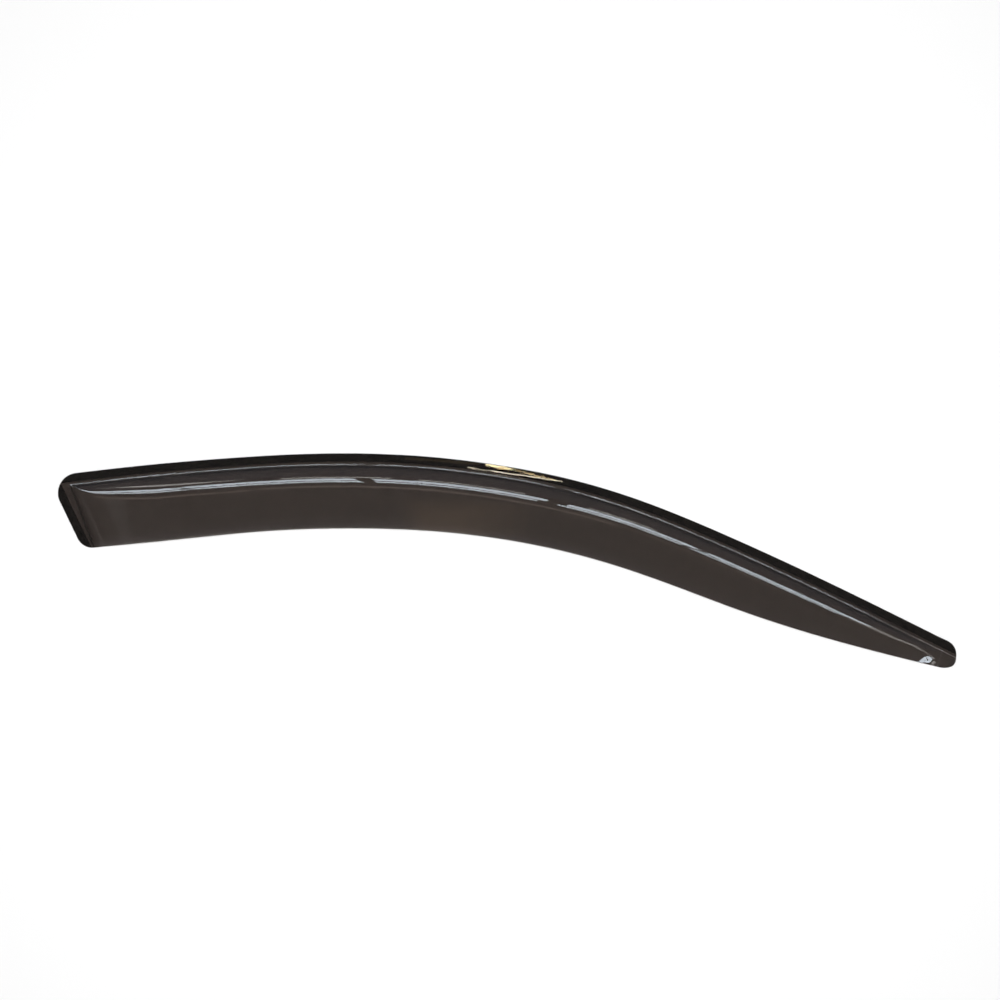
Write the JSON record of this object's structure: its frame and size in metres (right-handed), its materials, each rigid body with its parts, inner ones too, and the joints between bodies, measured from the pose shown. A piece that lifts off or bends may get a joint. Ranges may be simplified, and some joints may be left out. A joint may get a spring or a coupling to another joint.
{
  "type": "window rain deflector",
  "caption": "Curved smoked clear-plastic window visor with a flat taped flange, rounded shoulder and tapered front tip; sheds rain above an open car side window.",
  "frame": {"origin": "centre of the bounding box in plan, on the plane that the taped flange rests on", "axes": "+X forward along the window toward the tapered tip, +Y up the door, +Z outward from the window"},
  "size_m": [0.8984, 0.2144, 0.0183],
  "materials": {
    "smoked_sheet": "polished, see-through smoke tint",
    "foam_tape": "matte closed-cell foam",
    "release_film": "satin film"
  },
  "bodies": {
    "root": {"visor_shell": "smoked_sheet", "top_tape": "foam_tape", "end_tape": "foam_tape", "top_liner": "release_film", "end_liner": "release_film"}
  },
  "joints": []
}
